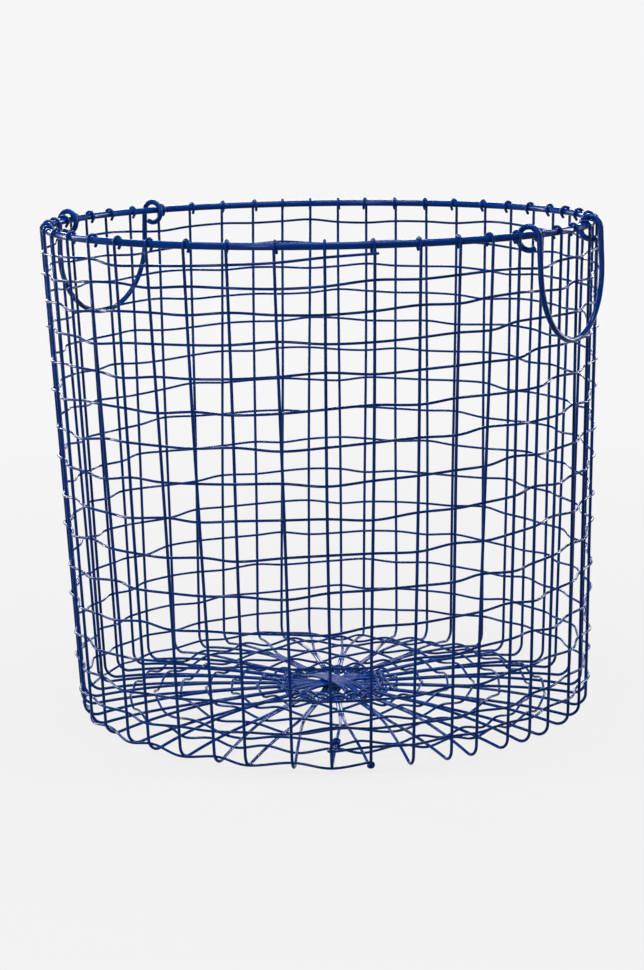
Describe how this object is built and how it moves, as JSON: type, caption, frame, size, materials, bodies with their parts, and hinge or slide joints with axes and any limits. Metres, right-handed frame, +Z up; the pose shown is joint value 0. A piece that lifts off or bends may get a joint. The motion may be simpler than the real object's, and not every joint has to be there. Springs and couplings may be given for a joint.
{
  "type": "wire basket",
  "caption": "Round open storage basket woven from painted steel wire, with a thick rim ring and bail handles that hang outside it and swing up over the rim.",
  "frame": {"origin": "on the floor, under the middle of the rim", "axes": "+Z up out of the open top; +X towards the handle that is on the right in the picture, with the other handle towards -X; +Y follows by the right-hand rule"},
  "size_m": [0.4179, 0.4122, 0.3693],
  "materials": {
    "blue_paint": "gloss"
  },
  "bodies": {
    "basket": {"rim_ring": "blue_paint", "stake_wire_01": "blue_paint", "stake_wire_02": "blue_paint", "stake_wire_03": "blue_paint", "stake_wire_04": "blue_paint", "stake_wire_05": "blue_paint", "stake_wire_06": "blue_paint", "stake_wire_07": "blue_paint", "stake_wire_08": "blue_paint", "stake_wire_09": "blue_paint", "stake_wire_10": "blue_paint", "stake_wire_11": "blue_paint", "stake_wire_12": "blue_paint", "stake_wire_13": "blue_paint", "stake_wire_14": "blue_paint", "stake_wire_15": "blue_paint", "stake_wire_16": "blue_paint", "stake_wire_17": "blue_paint", "stake_wire_18": "blue_paint", "stake_wire_19": "blue_paint", "stake_wire_20": "blue_paint", "stake_wire_21": "blue_paint", "stake_wire_22": "blue_paint", "stake_wire_23": "blue_paint", "stake_wire_24": "blue_paint", "wall_weaver": "blue_paint", "base_weaver_inner": "blue_paint", "base_weaver_outer": "blue_paint"},
    "handle_right": {"handle_right": "blue_paint"},
    "handle_left": {"handle_left": "blue_paint"}
  },
  "joints": [
    {"name": "handle_right_swing", "type": "hinge", "parent": "basket", "child": "handle_right", "pos_m": [0.19426, 0, 0.361], "axis": [0, -1, 0], "range_deg": [0, 314]},
    {"name": "handle_left_swing", "type": "hinge", "parent": "basket", "child": "handle_left", "pos_m": [-0.19284, 0.00505, 0.361], "axis": [0.0262, 0.9997, 0], "range_deg": [0, 295]}
  ]
}
